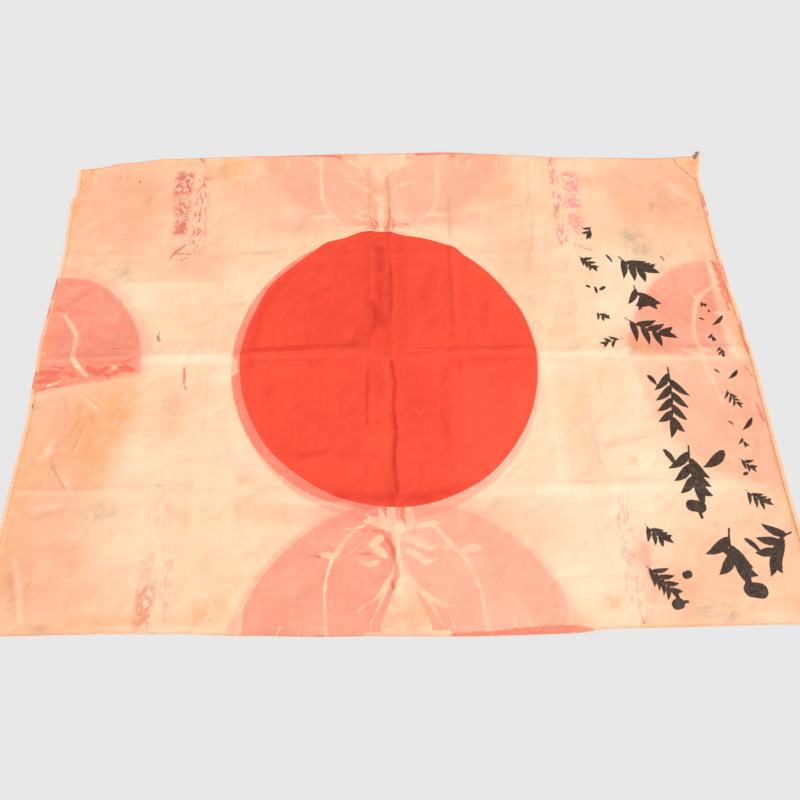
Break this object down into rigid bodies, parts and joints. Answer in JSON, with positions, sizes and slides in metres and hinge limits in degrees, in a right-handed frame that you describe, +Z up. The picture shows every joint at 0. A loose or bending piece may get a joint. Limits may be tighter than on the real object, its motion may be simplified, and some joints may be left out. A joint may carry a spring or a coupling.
{
  "type": "silk flag",
  "caption": "Rectangular thin silk flag lying flat, with soft ridges from storage folds, turned side hems, a three-cornered corner patch and a torn tie stump.",
  "frame": {"origin": "on the surface that the flag lies on, under the middle of its box", "axes": "+X along the flag's long side, towards the side with the patch; +Y along its short side, towards the patch's corner; +Z up from the surface"},
  "size_m": [1.012, 0.725, 0.0059],
  "materials": {
    "silk": "satin",
    "patch": "satin",
    "tie": "matte"
  },
  "bodies": {
    "root": {"flag_cloth": "silk", "corner_patch": "patch", "tie_stub": "tie"}
  },
  "joints": []
}
